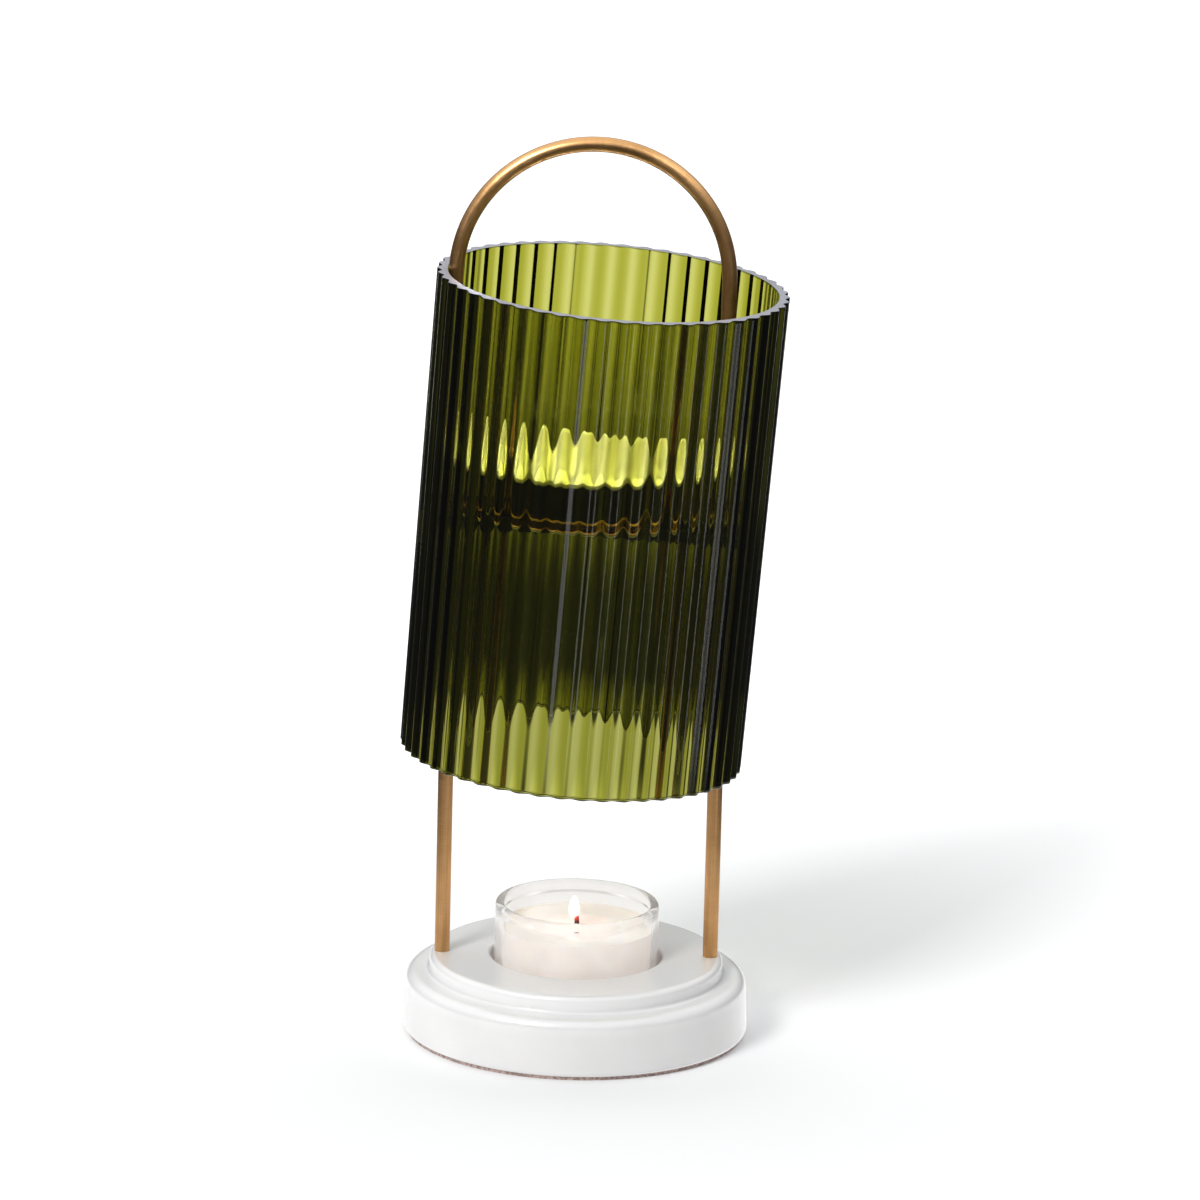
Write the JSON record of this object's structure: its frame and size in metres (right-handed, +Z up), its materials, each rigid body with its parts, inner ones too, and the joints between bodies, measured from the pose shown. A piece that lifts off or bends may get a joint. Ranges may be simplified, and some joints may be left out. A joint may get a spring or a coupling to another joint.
{
  "type": "tealight wax warmer",
  "caption": "Wax warmer: ceramic base with a glass tealight, bent brass hoop holding a level wax dish, and a leaning reeded green glass tube shade on a hidden pivot.",
  "frame": {"origin": "middle of the flat underside of the pad below the base", "axes": "+Z up through the candle and the wax dish, X across the hoop's two legs, -Y the side the picture shows"},
  "size_m": [0.1096, 0.102, 0.2674],
  "materials": {
    "glazed_white": "glossy white glaze",
    "pad": "reddish brown felt",
    "brass": "brushed, antique",
    "steel": "plated screws, washers and clip",
    "dark_steel": "black heat-proof coating",
    "rubber": "matt black",
    "silicone": "translucent silicone",
    "nylon": "natural",
    "green_glass": "clear olive green, reeded outside",
    "clear_glass": "clear, fire polished",
    "wax": "creamy white candle wax",
    "cotton": "waxed braided wick, charred at the tip",
    "tin": "bright pressed"
  },
  "bodies": {
    "stand": {"base": "glazed_white", "base_pad": "pad", "hoop": "brass", "leg_screws": "steel", "leg_washers": "steel", "leg_gaskets": "rubber", "dish_ring": "brass", "leg_collar_left": "brass", "leg_collar_right": "brass", "cross_bar": "dark_steel", "bar_screws": "steel", "pivot_pin": "dark_steel", "pivot_clip": "steel", "pivot_washers": "nylon"},
    "shade": {"glass_shade": "green_glass", "shade_carrier": "dark_steel", "shade_pad_left": "silicone", "shade_pad_right": "silicone"},
    "dish": {"wax_dish": "glazed_white"},
    "tealight": {"tealight_cup": "clear_glass", "candle_wax": "wax", "wick": "cotton", "wick_tab": "tin"}
  },
  "joints": [
    {"name": "shade_tilt", "type": "hinge", "parent": "stand", "child": "shade", "pos_m": [0, 0, 0.15248], "axis": [0, 1, 0], "range_deg": [-6.7, 0]},
    {"name": "dish_lift", "type": "slide", "parent": "stand", "child": "dish", "axis": [0, 0, 1], "range_m": [0, 0.066]},
    {"name": "tealight_lift", "type": "slide", "parent": "stand", "child": "tealight", "axis": [0, 0, 1], "range_m": [0, 0.034]}
  ]
}
